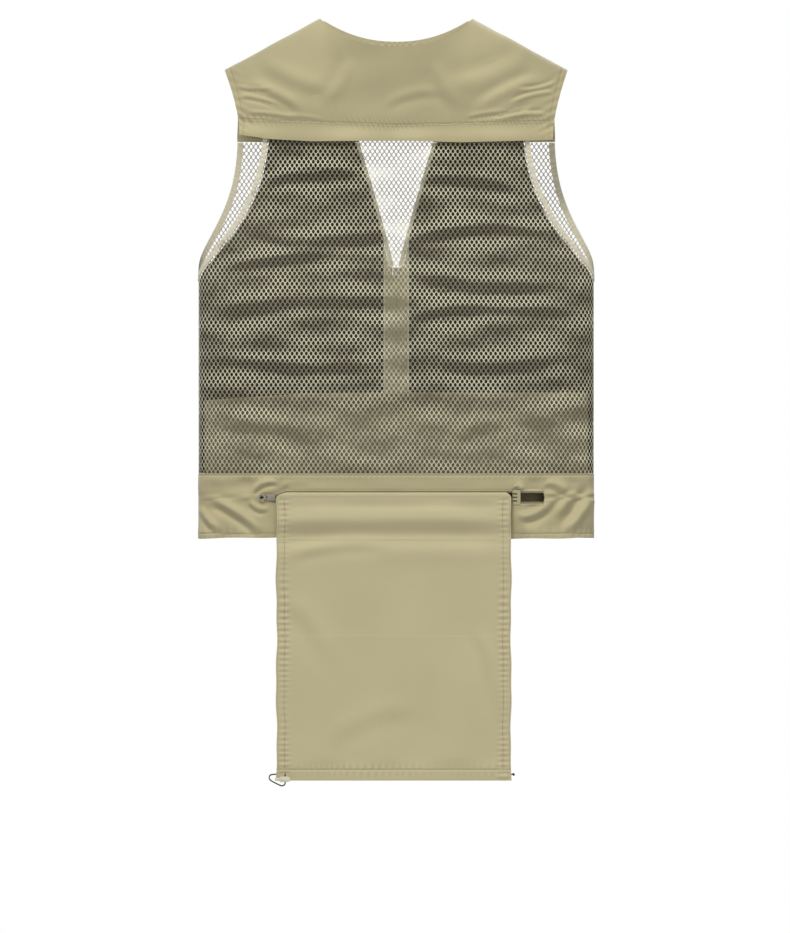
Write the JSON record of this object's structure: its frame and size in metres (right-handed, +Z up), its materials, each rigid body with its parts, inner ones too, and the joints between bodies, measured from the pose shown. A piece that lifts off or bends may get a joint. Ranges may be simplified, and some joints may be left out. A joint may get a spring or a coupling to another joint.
{
  "type": "fishing vest",
  "caption": "Sleeveless vest with a net body, nylon yoke and hem, front zip and pockets, and a long panel hanging from a zipped slot at the back hem.",
  "frame": {"origin": "midway between the two neck points, on the shoulder line", "axes": "+Z up, +Y the way the wearer faces, +X the wearer's right"},
  "size_m": [0.54, 0.1413, 1.0419],
  "materials": {
    "nylon": "matt plain-weave khaki nylon",
    "net": "matt knitted khaki polyester net",
    "binding": "light khaki binding tape",
    "zip_tape": "woven zip tape with a nylon coil",
    "zip_metal": "satin plating",
    "striped_tab": "webbing tab with dark stripes",
    "cord": "round braided cord",
    "toggle": "light moulded plastic",
    "spring_steel": "spring wire"
  },
  "bodies": {
    "vest_back": {"back_yoke": "nylon", "neck_binding": "nylon", "back_net_panel": "net", "back_armhole_binding_left": "binding", "back_armhole_binding_right": "binding", "back_hem_panel": "nylon", "back_pocket_bag": "nylon", "back_zip_upper_half": "zip_tape", "back_zip_lower_half": "zip_tape", "zip_end_tab": "striped_tab", "flap_anchor": "nylon", "front_yoke_left": "nylon", "front_yoke_right": "nylon"},
    "front_left": {"front_armhole_binding_left": "binding", "front_net_panel_left": "net", "front_neck_binding_left": "binding", "front_placket_left": "nylon", "front_zip_half_left": "zip_tape", "front_hem_panel_left": "nylon", "chest_pocket_left": "nylon", "lower_pocket_left": "nylon"},
    "front_right": {"front_armhole_binding_right": "binding", "front_net_panel_right": "net", "front_neck_binding_right": "binding", "front_placket_right": "nylon", "front_zip_half_right": "zip_tape", "front_hem_panel_right": "nylon", "chest_pocket_right": "nylon", "lower_pocket_right": "nylon"},
    "back_zip_slider": {"back_zip_slider": "zip_metal"},
    "back_zip_pull": {"back_zip_pull": "zip_metal"},
    "front_zip_slider": {"front_zip_slider": "zip_metal"},
    "front_zip_pull": {"front_zip_pull": "zip_metal"},
    "flap_upper": {"flap_upper": "nylon"},
    "flap_middle": {"flap_middle": "nylon"},
    "flap_lower": {"flap_lower": "nylon", "flap_drawcord_channel": "nylon", "drawcord": "cord"},
    "cord_lock": {"cord_lock_barrel": "toggle", "cord_lock_spring": "spring_steel"},
    "cord_lock_plunger": {"cord_lock_plunger": "toggle"},
    "chest_flap_left": {"chest_pocket_flap_left": "nylon"},
    "chest_flap_right": {"chest_pocket_flap_right": "nylon"},
    "lower_flap_left": {"lower_pocket_flap_left": "nylon"},
    "lower_flap_right": {"lower_pocket_flap_right": "nylon"}
  },
  "joints": [
    {"name": "front_left_open", "type": "hinge", "parent": "vest_back", "child": "front_left", "pos_m": [-0.26955, 0, -0.45], "axis": [0, 0, 1], "range_deg": [0, 45]},
    {"name": "front_right_open", "type": "hinge", "parent": "vest_back", "child": "front_right", "pos_m": [0.26955, 0, -0.45], "axis": [0, 0, -1], "range_deg": [0, 45]},
    {"name": "front_zip_slide", "type": "slide", "parent": "front_right", "child": "front_zip_slider", "axis": [0, 0, -1], "range_m": [0, 0.358]},
    {"name": "front_pull_swing", "type": "hinge", "parent": "front_zip_slider", "child": "front_zip_pull", "pos_m": [0, 0.05145, -0.34285], "axis": [1, 0, 0], "range_deg": [0, 130]},
    {"name": "back_zip_slide", "type": "slide", "parent": "vest_back", "child": "back_zip_slider", "axis": [0.9963, -0.0855, 0], "range_m": [-0.0095, 0]},
    {"name": "back_pull_swing", "type": "hinge", "parent": "back_zip_slider", "child": "back_zip_pull", "pos_m": [-0.17164, -0.04686, -0.64875], "axis": [0, 0, 1], "range_deg": [0, 100]},
    {"name": "flap_swing", "type": "hinge", "parent": "vest_back", "child": "flap_upper", "pos_m": [0, -0.053, -0.64], "axis": [-1, 0, 0], "range_deg": [0, 100]},
    {"name": "flap_fold", "type": "hinge", "parent": "flap_upper", "child": "flap_middle", "pos_m": [0, -0.05415, -0.76985], "axis": [-1, 0, 0], "range_deg": [0, 175]},
    {"name": "flap_fold_lower", "type": "hinge", "parent": "flap_middle", "child": "flap_lower", "pos_m": [0, -0.05185, -0.89985], "axis": [1, 0, 0], "range_deg": [0, 175]},
    {"name": "cord_lock_slide", "type": "slide", "parent": "flap_lower", "child": "cord_lock", "axis": [0, 0, 1], "range_m": [0, 0.003]},
    {"name": "cord_lock_press", "type": "slide", "parent": "cord_lock", "child": "cord_lock_plunger", "axis": [1, 0, 0], "range_m": [0, 0.0025], "stiffness_N_per_m": 300, "springref_m": -0.002, "deforming": ["cord_lock_spring"]},
    {"name": "chest_flap_left_lift", "type": "hinge", "parent": "front_left", "child": "chest_flap_left", "pos_m": [-0.113, 0.04999, -0.205], "axis": [0.9993, 0.0378, 0], "range_deg": [0, 130]},
    {"name": "lower_flap_left_lift", "type": "hinge", "parent": "front_left", "child": "lower_flap_left", "pos_m": [-0.125, 0.04965, -0.41], "axis": [0.9985, 0.0554, 0], "range_deg": [0, 115]},
    {"name": "chest_flap_right_lift", "type": "hinge", "parent": "front_right", "child": "chest_flap_right", "pos_m": [0.113, 0.04999, -0.205], "axis": [0.9993, -0.0378, 0], "range_deg": [0, 130]},
    {"name": "lower_flap_right_lift", "type": "hinge", "parent": "front_right", "child": "lower_flap_right", "pos_m": [0.125, 0.04965, -0.41], "axis": [0.9985, -0.0554, 0], "range_deg": [0, 115]}
  ],
  "couplings": [
    {"joint": "flap_fold_lower", "follows": "flap_fold", "ratio": 1}
  ]
}
